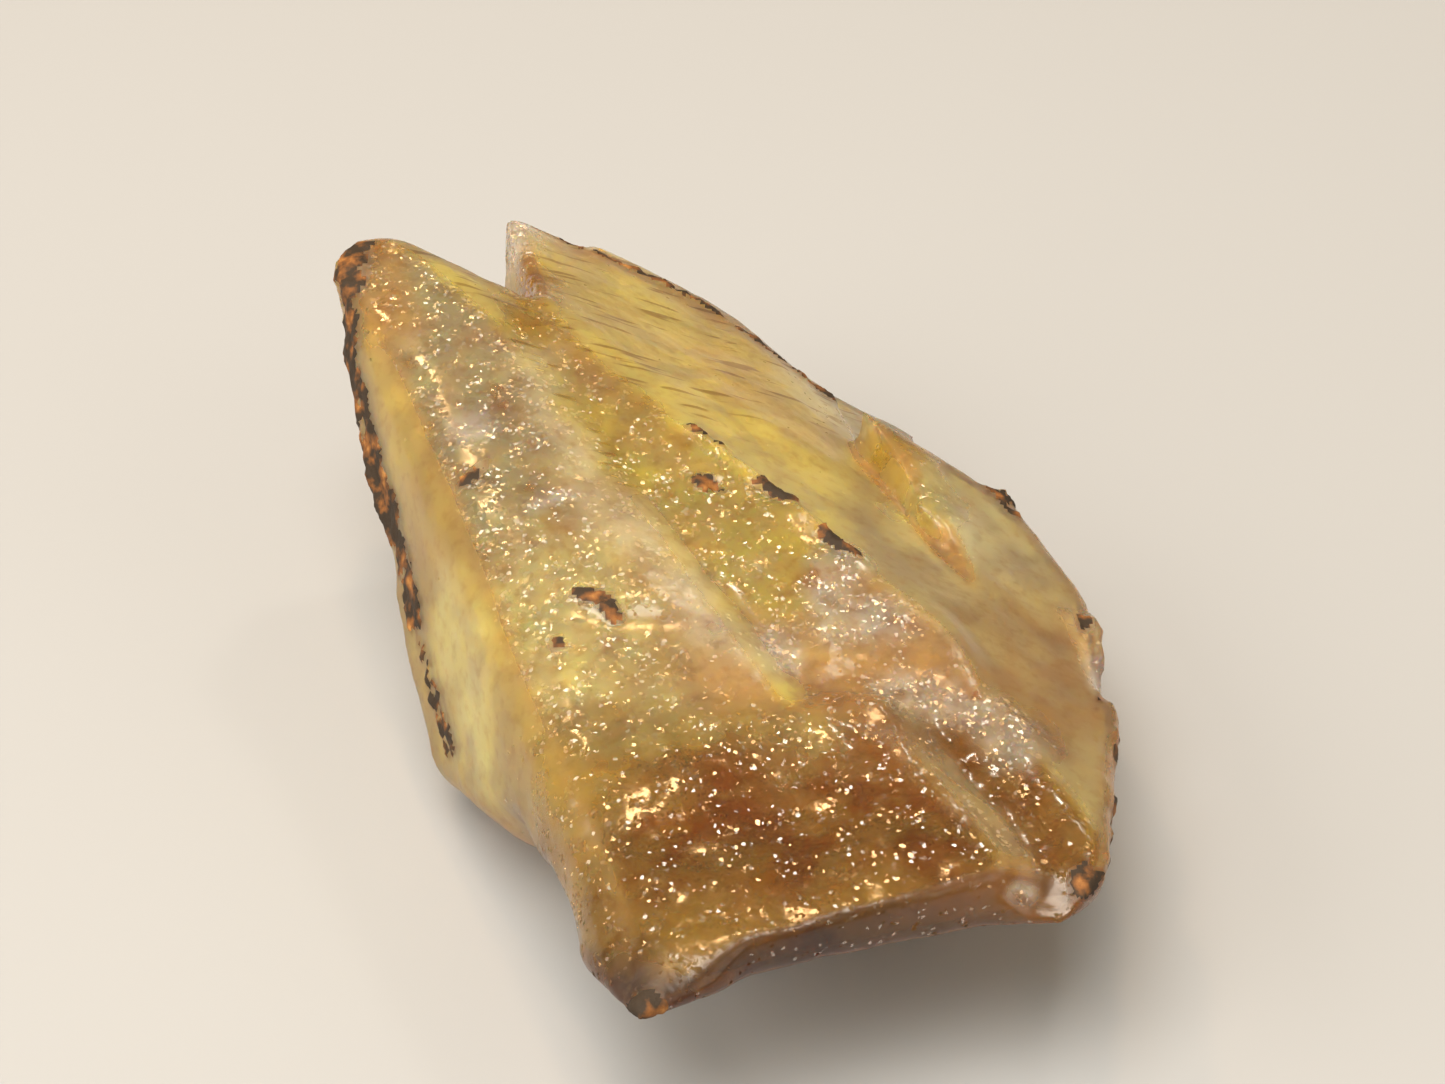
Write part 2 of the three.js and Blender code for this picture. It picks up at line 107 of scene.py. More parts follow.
TOP, ROOF, LEFT = form_face(0, 1), form_face(0, -1), form_face(1, -1)
SEAM, FLANK, BASE_FLANK = facing(17, 59), facing(15, 64), facing(18, 60)
GROWTH = unit(AXIS - TOP * AXIS.dot(TOP))
ACROSS = np.cross(TOP, GROWTH)
print("top face looks", TOP.round(2), "and growth runs", GROWTH.round(2))

# %% [markdown]
# ## A fine mesh over the solid
# The solid's flat faces have far too few points to carry relief. A voxel remesh lays an even
# grid of small squares over all of it.

# %% Remesh
VOXEL = 0.3 * MM

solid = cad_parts["calcite_crystal"]
stone = bpy.data.objects.new("calcite_stone", solid.data.copy())
bpy.context.collection.objects.link(stone)
remesh = stone.modifiers.new("even grid", "REMESH")
remesh.mode = "VOXEL"
remesh.voxel_size = VOXEL
fine = bpy.data.meshes.new_from_object(
    stone.evaluated_get(bpy.context.evaluated_depsgraph_get())
)
stone.modifiers.clear()
stone.data = fine

shape = bmesh.new()
shape.from_mesh(fine)
shape.verts.ensure_lookup_table()
reached = {shape.verts[len(shape.verts) // 2]}
fresh = list(reached)
while fresh:
    beside = {edge.other_vert(point) for point in fresh for edge in point.link_edges}
    fresh = list(beside - reached)
    reached |= beside
specks = [point for point in shape.verts if point not in reached]
bmesh.ops.delete(shape, geom=specks, context="VERTS")
shape.to_mesh(fine)
shape.free()
print("loose specks taken away:", len(specks), "points")
fine.name = "calcite_stone"

count = len(fine.vertices)
points = np.empty(count * 3)
fine.vertices.foreach_get("co", points)
points = points.reshape(-1, 3) / MM
edges = np.empty(len(fine.edges) * 2, dtype=np.int64)
fine.edges.foreach_get("vertices", edges)
edges = edges.reshape(-1, 2)
valence = np.bincount(edges.ravel(), minlength=count)
print("fine mesh:", count, "points,", 2 * len(fine.polygons), "triangles")

# %% [markdown]
# ## Places on the stone
# Wear, crust, pits and stains all sit in particular places. Each is given as a line through a few
# points in millimetres, like one stroke of an airbrush, with a radius. A stroke covers what lies
# within its radius and fades out past it.

# %% Strokes
def ramp(values, low, high):
    """A soft step: 0 below low, 1 above high."""
    t = np.clip((values - low) / (high - low), 0, 1)
    return t * t * (3 - 2 * t)


def distance_to(line, places):
    """How far each of the places is from a line through points, in mm."""
    line = np.array(line, dtype=float)
    nearest = np.linalg.norm(places - line[0], axis=1)
    for start, end in zip(line, line[1:]):
        run = end - start
        share = np.clip((places - start) @ run / (run @ run), 0, 1)
        gap = np.linalg.norm(places - start - share[:, None] * run, axis=1)
        nearest = np.minimum(nearest, gap)
    return nearest


def stroke(line, radius, places=None):
    """1 along a line, fading to nothing past its radius."""
    reach = distance_to(line, points if places is None else places) / radius
    return np.exp(-reach ** 3)


RIDGE = [(-3.9, 7.1, 18.3), (-0.6, 6.3, 18.2), (2.2, 4.1, 17.9), (5.0, 1.1, 17.4), (8.2, -1.7, 17.0)]
ROOF_EDGE = [(-9.4, 30.2, 15.1), (-0.7, 28.0, 12.3), (7.5, 20.5, 10.0)]
FRONT_EDGE = [
    (1.4, -28.3, 13.7), (4.5, -27.0, 13.9), (8.1, -25.6, 14.2), (17.0, -24.9, 13.2),
    (18.8, -24.2, 13.4),
]
LEFT_EDGE = [(-20.9, 15.1, 18.7), (-19.4, 8.8, 14.1), (-16.7, 1.0, 11.0), (-14.5, -6.7, 7.1)]
LEFT_RIDGE = [
    (-20.3, 16.4, 20.9), (-17.6, 10.5, 20.0), (-13.8, 1.5, 18.7), (-11.2, -6.2, 17.3),
    (-8.9, -13.7, 16.0), (-5.6, -22.1, 14.9), (-3.8, -28.0, 13.8),
]
print("ridge is", round(sum(math.dist(a, b) for a, b in zip(RIDGE, RIDGE[1:])), 1), "mm long")

# %% [markdown]
# ## Wear
# Etching and handling have rounded most edges, but not all: the ridge, the broken front and the
# points are still crisp. Averaging each point with its neighbours rounds edges, so it is done
# fully in most places and hardly at all near the crisp ones.

# %% Round the edges
CRISP = [
    (RIDGE, 1.1), (ROOF_EDGE, 1.5), (FRONT_EDGE, 1.0), (LEFT_EDGE, 0.8),
    ([(-22.0, 18.5, 21.3)], 3.0),
    ([(-12.3, 31.7, 16.1)], 4.0),
    ([(-11.5, 19.5, 18.0)], 3.0),
    ([(20.8, 0.0, 11.0), (21.4, -6.0, 11.4)], 1.5),
    ([(-7.9, -9.3, 16.6)], 1.0),
    ([(7.5, -13, 16.2), (12, -18, 15.2), (14.8, -21, 14.6)], 2.2),
    ([(0.3, 2.9, 17.6)], 1.4),
    ([(3.8, 2.5, 17.6)], 1.2),
    ([(7.5, -1.2, 17.2)], 1.2),
]
WORN = [
    (LEFT_RIDGE[1:], 3.0),
    ([(-5.5, -22, 14.5), (-4.3, -26.5, 13.8)], 2.5),
    ([(-10.2, -15.3, 15.7), (-3.6, -12.9, 16.2)], 1.6),
]
ROUNDING_STEPS = 26
WEARING_STEPS = 150
LEAST_ROUNDING = 0.12


def neighbour_mean(values):
    """The mean of each point's neighbours, for vectors."""
    total = np.empty_like(values)
    for k in range(values.shape[1]):
        there = np.bincount(edges[:, 0], values[edges[:, 1], k], count)
        back = np.bincount(edges[:, 1], values[edges[:, 0], k], count)
        total[:, k] = (there + back) / valence
    return total


crisp = np.zeros(count)
for line, radius in CRISP:
    crisp = np.maximum(crisp, stroke(line, radius))
rounding = (1 - (1 - LEAST_ROUNDING) * crisp)[:, None]
worn = np.zeros(count)
for line, radius in WORN:
    worn = np.maximum(worn, stroke(line, radius))
sharp_points = points.copy()
for step in range(ROUNDING_STEPS):
    points += 0.5 * rounding * (neighbour_mean(points) - points)
for step in range(WEARING_STEPS):
    points += 0.5 * worn[:, None] * (neighbour_mean(points) - points)
moved = np.linalg.norm(points - sharp_points, axis=1)
print("rounding moved points by up to", moved.max().round(2), "mm, mean", moved.mean().round(3))

# %% [markdown]
# ## Finding the way around
# Each point needs to know which face it lies on. A face is known by the direction that the
# surface looks, smoothed so that one crumb of crust doesn't count as another face.

# %% Surface directions and regions
def surface_normals():
    """The normal at each point of the present shape."""
    fine.vertices.foreach_set("co", (points * MM).ravel())
    fine.update()
    normals = np.empty(count * 3)
    fine.vertices.foreach_get("normal", normals)
    return normals.reshape(-1, 3)


normals = surface_normals()
broad = normals.copy()
for step in range(6):
    broad = neighbour_mean(broad)
broad /= np.linalg.norm(broad, axis=1, keepdims=True)


def looking(direction, within):
    """1 where the surface looks in a direction, falling to 0 at so many degrees away."""
    far, near = math.cos(math.radians(within)), math.cos(math.radians(within / 2))
    return ramp(broad @ direction, far, near)


on_base = ramp(-points[:, 1], 12.0, 16.0)
FACES = {
    "any": np.ones(count),
    "top": looking(TOP, 28),
    "roof": looking(ROOF, 20),
    "left": looking(LEFT, 62),
    "flank": np.maximum(looking(FLANK, 16), looking(SEAM, 14)) * ramp(points[:, 0], 6.0, 9.0),
    "front": ramp(-broad[:, 1], 0.3, 0.55) * on_base,
    "base": looking(TOP, 25) * on_base,
}
for name, mask in FACES.items():
    print(f"{name}: {mask.mean():.0%} of the surface")

# %% [markdown]
# ## Relief
# The relief has four layers, from broad to fine. Broad swells make the faces gently uneven.
# Growth hillocks are long low bumps that run with the crystal. Etching is small and sharp, and is
# what glitters. The base was broken, so it has rounder, deeper lumps instead. All of them are
# noise, looked up in the crystal's own directions so that it can be stretched along the growth.

# %% Noise helpers
def grain(stretch):
    """The points in the crystal's directions, squeezed along the growth so that noise looks long."""
    return np.stack([points @ AXIS / stretch, points @ LEVEL, points @ UPRIGHT], axis=1)


def soft_noise(places, size, octaves=3, seed=0):
    """Noise from about -1 to 1, with lumps of that size in mm."""
    shift = Vector((17.3 * seed, 5.1 * seed, 9.7 * seed))
    return np.array([
        noise.fractal(Vector(p) / size + shift, 1.0, 2.0, octaves) for p in places
    ])


def dimples(places, size, seed=0):
    """0 at the middle of each cell of a random pattern, about 1 at its edge."""
    shift = Vector((3.7 * seed, 11.9 * seed, 7.3 * seed))
    return np.array([
        noise.voronoi(Vector(p) / size + shift)[0][0] for p in places
    ])


# %% Broad swells, hillocks, etching and lumps
swell = soft_noise(points, 9.0, 2, seed=1)
hillock = soft_noise(grain(3.0), 1.6, 3, seed=2)
etch = dimples(grain(2.2), 0.9, seed=3)
lumps = soft_noise(points, 2.6, 3, seed=4)
shell = dimples(points, 3.4, seed=5)
chips = dimples(points, 1.3, seed=9)
streak = soft_noise(grain(14.0), 0.7, 2, seed=6)
smooth_faces = FACES["roof"] + FACES["left"]

relief = 0.20 * swell
relief += (0.04 * FACES["top"] + 0.03 * smooth_faces + 0.04 * FACES["flank"]) * hillock
relief += 0.02 * FACES["top"] * (etch - 0.5)
relief += on_base * (0.05 * lumps + 0.12 * (shell - 0.5) + 0.06 * (chips - 0.5))
relief += 0.03 * smooth_faces * streak
broken = np.maximum(
    stroke([(6.0, -10.0, 16.0), (10, -12, 15.6), (15, -14, 15)], 3.2),
    stroke([(7.5, -14.5, 16.2), (11, -17.5, 15.4), (15.0, -21, 14.6)], 2.6),
)
relief += broken * (0.16 * (dimples(points, 1.1, seed=10) - 0.5) + 0.10 * soft_noise(points, 1.5, 3, seed=11))
hidden = 1 - np.clip(sum(FACES[face] for face in ("top", "roof", "left", "flank", "front", "base")), 0, 1)
relief += hidden * (0.09 * lumps + 0.08 * (shell - 0.5))

# %% [markdown]
# ## Crust
# Brown iron crust clings to the left edge, the ridge and the right rim, and to a few spots on the
# faces. It has crumbs of its own, so the relief is rough there, and it ends raggedly.

# %% Crust by place
CRUST = {
    "left edge": (LEFT_EDGE, 1.1, 0.62),
    "left edge, high": ([(-21.0, 15.4, 19.2), (-20.3, 12.2, 16.4)], 1.4, 1.1),
    "left edge, thick": ([(-20.6, 13.5, 17.0), (-19.4, 8.8, 14.1), (-18.4, 6.0, 12.9)], 1.7, 1.25),
    "left edge, low": ([(-17.2, 3.0, 11.9), (-16.4, 0.5, 10.8)], 1.5, 1.1),
    "left edge, foot": ([(-14.9, -4.7, 8.6), (-14.4, -6.9, 7.4)], 0.9, 0.9),
    "left face, spots": ([(-17.8, 15.0, 9.0), (-17.0, 13.0, 7.6)], 0.8, 0.8),
    "left face, low spot": ([(-13.0, 2.0, 3.0), (-12.0, -1.5, 2.6)], 0.9, 0.75),
    "back spots": ([(-13.5, 28.0, 8.0), (-12.0, 26.0, 5.0)], 1.0, 0.8),
    # The crust at the front corner also darkens the corner as painted shade.
    "front corner, brown and painted shade": ([(-5.6, -30.2, 10.8), (-4.2, -31.7, 12.3), (-2.2, -31.3, 12.9)], 1.1, 0.85),
    "left point, rim": ([(-21.6, 16.5, 21.2), (-21.0, 20.0, 21.5), (-18.6, 21.2, 21.0)], 0.5, 1.0),
    "roof rim": (ROOF_EDGE, 0.4, 0.75),
    "right rim, whole": ([(20.9, -0.5, 10.8), (21.8, -6, 10.6), (21.6, -14, 12), (20.2, -22, 13)], 0.45, 0.62),
    "left point": ([(-21.4, 17.0, 20.8), (-20.9, 19.6, 21.4)], 1.5, 0.62),
    "streak on the left top": ([(-15.2, 0.6, 18.8), (-13.6, 1.8, 19.0), (-12.6, 2.9, 19.1)], 0.45, 1.4),
    "crust on the left top": ([(-7.0, -6.0, 17.4), (-5.6, -6.6, 17.5), (-5.0, -7.6, 17.3)], 0.42, 1.3),
    "chip on the side tooth": ([(16.4, 9.7, 11.9), (17.4, 8.6, 11.3)], 0.8, 1.0),
    "right rim": ([(20.6, 0.2, 11.0), (20.9, -1.6, 11.0)], 0.55, 0.8),
    "right rim, low": ([(21.3, -7.0, 11.8), (20.9, -9.5, 12.4)], 0.5, 0.8),
    "lower right corner": ([(18.9, -23.4, 13.6), (19.3, -22.0, 13.2)], 0.9, 1.0),
    "ridge": ([(-1.2, 7.2, 18.0), (0.8, 5.6, 18.0)], 0.45, 0.9),
    "ridge, first hole": ([(2.6, 3.2, 17.7), (4.3, 2.1, 17.5)], 0.55, 1.3),
    "ridge, second hole": ([(6.4, -0.6, 17.3), (8.0, -1.6, 17.1)], 0.55, 1.3),
    "star pit": ([(-0.3, 3.1, 17.6), (0.7, 2.8, 17.4)], 0.7, 1.4),
    "dark pit": ([(-7.9, -9.2, 16.6)], 0.6, 1.6),
}
crumbs = soft_noise(points, 0.8, 3, seed=7)
crust = np.zeros(count)
for name, (line, radius, strength) in CRUST.items():
    crust = np.maximum(crust, strength * stroke(line, radius))
breaks = soft_noise(points, 2.6, 2, seed=8)
crust = np.clip(crust * (0.95 + 0.9 * crumbs + 1.0 * breaks), 0, 1)
relief += 0.12 * ramp(crust, 0.3, 0.7) * (0.5 + 1.5 * crumbs)
print(f"crust covers {(crust > 0.5).mean():.1%} of the stone")

# %% Move the points
points += 1.3 * stroke([(-5.0, -29.0, 9.5)], 4.5)[:, None] * facing(190, 0)
points += normals * relief[:, None]
points[:, 2] = np.maximum(points[:, 2], 0)
normals = surface_normals()
print("relief from", relief.min().round(2), "to", relief.max().round(2), "mm")

# %% [markdown]
# ## Colour by place
# Clear honey calcite, milky zones and iron stains grade into each other. They are painted in
# layers, one stroke over another, with wandering edges. Each stroke carries a colour, how cloudy
# the calcite is there, and how frosted its surface is. The paint is stored on the points. A few
# strokes paint light and shade as well: highlights on the left top, the right point, the rim chip
# and the front facet, reflections of the inner cracks, light through the lower left face, and
# shade along the dark front.

# %% Paint
def linear(code):
    """A colour such as 'c89b4b' as linear red, green and blue."""
    parts = [int(code[k:k + 2], 16) / 255 for k in (0, 2, 4)]
    return np.array([c / 12.92 if c <= 0.04045 else ((c + 0.055) / 1.055) ** 2.4 for c in parts])


ALL_OVER = [(0, 0, 12)], 60
PALE_BAND = [
    (-9.9, 12.5, 19.6), (-9.2, 7.6, 19.2), (-7.3, 3.8, 19.0), (-5.3, -0.2, 18.4), (-2.2, -3.2, 17.8),
    (0.5, -8.0, 17.0), (3.0, -9.5, 16.3),
]
STROKES = [
    # name, face, line, radius, colour, strength, cloudiness, frosting, glitter
    ("back and underside", "any", [(-14, 22, 5), (-4, 10, 1), (8, 2, 1), (6, -14, 4)], 9,
     "b4843a", 0.7, 0.75, 0.5, 0.1),
    ("left face", "left", *ALL_OVER, "c8ac44", 1.0, 0.65, 0.55, 0.0),
    ("left face, high", "left", [(-20.5, 15, 18.5), (-18, 6, 14.5)], 4,
     "eed470", 0.7, 0.5, 0.4, 0.0),
    # The lower left face is painted very pale: partly milky calcite, partly painted light for the light that
    # shines through it there.
    ("left face, low", "left", [(-14.2, -4.4, 12.8), (-12.5, -9, 11)], 4,
     "faf889", 0.8, 0.95, 0.5, 0.0),
    ("left face, foot", "any", [(-7.0, -23, 11), (-4.6, -29, 11)], 4.5,
     "9a6428", 0.85, 0.8, 0.4, 0.0),
    ("left foot, dark", "any", [(-4.8, -30.5, 9), (-4.4, -31.5, 11.5)], 2.6, "5e300c", 0.9, 0.9, 0.4, 0.0),
    ("left top", "top", [(-17, 15, 21), (-9, -8, 17)], 8, "c4ce95", 0.9, 0.4, 0.12, 1.7),
    ("left top, honey", "top", [(-12, -5, 17.8), (-7, -9, 17)], 5, "faea78", 0.95, 0.8, 0.15, 1.2),
    # The two strokes below paint highlights: white spots where the top face catches the lamps, not a colour of
    # the calcite.
    ("left top, painted highlight", "top", [(-13.4, 6.1, 19.5)], 1.3, "ffffff", 1.0, 1, 0.1, 1.5),
    ("left top, second painted highlight", "top", [(-9.3, 0.4, 18.9), (-7.6, 1.0, 18.9)], 0.6, "ffffff", 0.8, 1, 0.1, 0.6),
    ("left point", "any", [(-20.5, 20, 21.5), (-18.5, 14.5, 20.8)], 2.4,
     "e8a238", 0.8, 0.4, 0.15, 1.3),
    ("right top", "top", [(-3.5, 5, 18.2), (3, -2, 17)], 5, "faeb61", 0.9, 0.35, 0.1, 1.4),
    ("right top, olive", "top", [(1.5, 1.5, 17.5), (4.5, -1.5, 17)], 2.2,
     "f1dd54", 0.6, 0.3, 0.06, 0.5),
    ("roof", "roof", *ALL_OVER, "f4e55e", 0.95, 0.85, 0.5, 0.0),
    ("roof, bluish", "roof", [(-8.5, 26, 16.5), (-5, 17, 17.2)], 3.5,
     "ddc34c", 0.7, 0.8, 0.45, 0.0),
    ("roof, warm", "roof", [(1, 20, 14), (5, 13, 14.5)], 4, "c99416", 0.6, 0.8, 0.45, 0.0),
    ("valley", "any", [(-11, 17, 19), (-9.3, 12.5, 19.4), (-7.2, 7.5, 18.8), (-5.4, 3.5, 18.6)], 1.7,
     "fae61f", 0.8, 0.3, 0.1, 0.5),
    ("notch", "any", [(-11.3, 21, 17.5), (-11, 17, 18.5)], 2.2, "c17407", 0.8, 0.3, 0.1, 0.6),
    ("pale band", "any", PALE_BAND, 1.8, "e6dcb0", 0.85, 0.9, 0.4, 0.25),
    ("grey window", "any", [(-4.4, 10.4, 18.7), (-4, 7.6, 18.5)], 1.3,
     "abab39", 0.6, 0.15, 0.15, 0.1),
    ("roof rim", "any", ROOF_EDGE, 1.7, "c8822e", 0.8, 0.8, 0.5, 0.15),
    ("right point, orange", "any", [(-11.4, 24.6, 16.8), (-10.6, 22, 16.8)], 1.8,
     "9a5002", 0.85, 0.6, 0.15, 0.6),
    # The right point is painted white: partly its whitish broken tip, partly a painted highlight of glare on
    # it.
    ("right point", "any", [(-11.9, 28.8, 16.8)], 2.3, "ffffff", 1.0, 1, 0.05, 2.0),
    ("white tooth", "any", [(9.5, 19, 10)], 5, "fafab5", 0.95, 1, 0.4, 0.1),
    ("flank", "flank", *ALL_OVER, "c1b574", 0.95, 0.7, 0.4, 0.0),
    ("flank, high", "flank", [(14.5, 4.5, 13.8)], 4, "fafac0", 0.85, 0.8, 0.4, 0.0),
    ("flank, rosy", "flank", [(18.5, -4, 12.6), (18.5, -10, 13)], 5,
     "a46c23", 0.75, 0.6, 0.4, 0.0),
    ("side tooth", "any", [(11.2, 11, 14)], 1.8, "bd9307", 0.85, 0.35, 0.12, 0.2),
    ("side tooth, second", "any", [(12.3, 6.5, 14.3)], 2, "fafa8c", 0.8, 0.4, 0.1, 0.4),
    ("side tooth, line", "any", [(9.9, 10.5, 14.6), (10.2, 8.2, 14.7)], 0.4,
     "c27a1e", 0.3, 0.6, 0.4, 0.1),
    ("base", "base", *ALL_OVER, "aa871f", 0.95, 0.12, 0.12, 1.2),
    ("base, upper", "base", [(-6, -14.5, 16), (3, -12.5, 16.4), (6, -15.5, 16)], 3,
     "fae474", 0.75, 0.55, 0.12, 0.6),
    ("base, right", "base", [(14.9, -17.1, 14.5), (17, -21, 13.5)], 4,
     "743806", 0.7, 0.35, 0.12, 0.6),
    ("base, tan", "any", [(-8, -18, 15), (-5.5, -25, 13.5)], 3.4, "c19934", 0.8, 0.6, 0.15, 0.7),
    ("base, deep", "base", [(-2.5, -23.5, 14.6), (1, -19.5, 15.2), (4, -23, 14.8), (8.5, -19, 15.3), (11.5, -22.5, 15)], 3.6,
     "86480a", 1.0, 0.35, 0.07, 1.2),
    ("base, tan low", "any", [(-5.4, -25.0, 13.0), (-4.4, -29.0, 12.5)], 2.4,
     "6a460c", 0.9, 0.7, 0.2, 0.6),
    # The front corner, front edge and front strokes paint the front band dark brown: partly the calcite's own
    # deep colour, partly painted shade, as this band faces down and away from the overhead lamp.
    ("front corner, brown and painted shade", "any", [(-4.2, -30.5, 11.5), (-2.4, -31.5, 12.8)], 2.0,
     "3c1c06", 0.85, 1.0, 0.9, 0.1),
    ("front edge, brown and painted shade", "any", [(-2.4, -31.2, 12.8), (-0.2, -30.2, 13.2), (5.5, -27.4, 12.7)], 1.2,
     "4a2606", 0.85, 0.7, 0.6, 0.4),
    ("front", "front", *ALL_OVER, "4a2606", 0.95, 0.9, 0.35, 0.2),
    ("front, right", "front", [(14.5, -24.8, 12.9)], 4, "8e5a20", 0.8, 0.8, 0.35, 0.1),
    ("hollow", "any", [(7.5, -15.5, 16), (9, -17.3, 15.6)], 0.9, "b86707", 0.9, 0.3, 0.06, 0.4),
    ("brown ledge", "any", [(5.2, -11.8, 16.2), (7.6, -13.2, 16.2), (9.0, -15.0, 15.9)], 0.7,
     "8a4a10", 0.8, 0.7, 0.2, 0.3),
    ("rosy seam", "any", [(8.7, -14, 16), (12, -18, 15.2), (14.8, -21, 14.6)], 1.2,
     "c7a069", 0.7, 0.6, 0.4, 0.4),
    ("right rim", "any", [(20.8, -0.7, 11), (21.2, -4.5, 11)], 1.3, "ffcf7c", 0.8, 1.0, 0.3, 0.3),
    # The white on the rim chip is a painted highlight.
    ("rim chip, painted highlight", "any", [(21.4, -4.6, 10.6), (21.6, -5.8, 10.6)], 1.3, "ffffff", 1.0, 1, 0.05, 0.3),
    # The pale front facet is a painted highlight: a small glossy face shown bright as if reflecting the lamps.
    ("front facet, painted highlight", "any", [(15.4, -23.9, 13.3), (16.0, -23.9, 13.1)], 0.5, "fff4e0", 0.8, 0.5, 0.05, 5.0),
    ("worn valley edge", "any", [(-9.0, 14.6, 18.6), (-6.2, 11.6, 18.8), (-3.6, 9.2, 18.8)], 1.3,
     "dcae48", 0.7, 0.4, 0.3, 0.5),
    ("right lower", "any", [(10.5, -13, 15.5), (15, -14, 15)], 3.0, "78420c", 0.7, 0.5, 0.1, 0.6),
    # The inner sparkle strokes paint pale reflections from cracks inside the calcite into its colour, besides
    # turning many etched cells to glint.
    ("inner sparkle", "any", [(7, -2.5, 16.7), (6.5, -6.5, 16.3), (9.5, -6.5, 16.2)], 1.5, "ffeed0", 0.85, 0.9, 0.1, 3.5),
    ("inner sparkle, middle", "any", [(3.5, -7.5, 16.4), (4.5, -9.8, 16.2)], 0.8,
     "ffeed0", 0.7, 0.9, 0.1, 3.0),
    ("inner sparkle, low", "any", [(10, -11.5, 15.6), (14.5, -12.5, 15.2), (16, -15, 15)], 1.4,
     "ffeed0", 0.85, 0.9, 0.15, 3.5),
]
wander = np.stack([soft_noise(points, 3.5, 3, seed=s) for s in (11, 12, 13)], axis=1)
blotches = 0.62 + 0.38 * ramp(soft_noise(points, 2.2, 4, seed=14), -0.25, 0.15)
tint = np.tile(linear("dcaa55"), (count, 1))
cloud = np.full(count, 0.5)
frost = np.full(count, 0.35)
glitter = np.full(count, 0.1)
for name, face, line, radius, code, strength, cloudy, frosty, glinting in STROKES:
    wandered = points + 0.5 * min(radius, 5) * wander
    cover = strength * FACES[face] * stroke(line, radius, wandered)
    if radius < 20:
        cover *= blotches
    tint += cover[:, None] * (linear(code) - tint)
    cloud += cover * (cloudy - cloud)
    frost += cover * (frosty - frost)
    glitter += cover * (glinting - glitter)
crust_halo = 0.85 * ramp(crust, 0.22, 0.52)
tint += crust_halo[:, None] * (linear("6e3c14") - tint)
cloud += crust_halo * (1 - cloud)
frost += crust_halo * (0.8 - frost)
glitter *= 1 - crust_halo
print("painted", len(STROKES), "strokes; mean cloudiness", cloud.mean().round(2))


# %% Store the paint on a mesh
def store(mesh, **layers):
    """Keeps each named number, or colour, on the mesh's points, for the materials to read."""
    for name, values in layers.items():
        if values.ndim == 2:
            layer = mesh.color_attributes.new(name, "FLOAT_COLOR", "POINT")
            layer.data.foreach_set("color", np.hstack([values, np.ones((len(values), 1))]).ravel())
        else:
            layer = mesh.attributes.new(name, "FLOAT", "POINT")
            layer.data.foreach_set("value", values)
    mesh.polygons.foreach_set("use_smooth", np.ones(len(mesh.polygons), dtype=bool))
    mesh.update()


wisps = ramp(cloud, 0.4, 0.9) * ramp(tint[:, 0], 0.3, 0.8)
dashes = FACES["roof"] * ramp(-points[:, 0] + points[:, 1], 2, 12)
# Light that a milky layer sends up is mostly turned back by the skin, again and again, which darkens
# it. So the milk is lighter than it will look, and the skin has only a breath of the colour.
TURNED_BACK = 0.6
milk_tint = tint / (1 - TURNED_BACK + TURNED_BACK * tint)
darkness = 1 - ramp(tint[:, 0], 0.02, 0.35)
skin_tint = tint ** (0.30 + 0.35 * (1 - cloud) + 0.5 * darkness)[:, None]
store(fine, skin=skin_tint, milk=milk_tint, cloud=cloud, frost=frost, glitter=glitter, crust=crust, dashes=dashes, wisps=wisps)

# %% [markdown]
# ## Shader helpers

# %% Node helpers
def add_node(tree, kind, **settings):
    """A node of that kind, with its settings."""
    node = tree.nodes.new(kind)
    for key, value in settings.items():
        setattr(node, key, value)
    return node


def new_material(name):
    """A material with only an output, and its node tree."""
    material = bpy.data.materials.new(name)
    material.use_nodes = True
    material.node_tree.nodes.clear()
    output = material.node_tree.nodes.new("ShaderNodeOutputMaterial")
    return material, material.node_tree, output


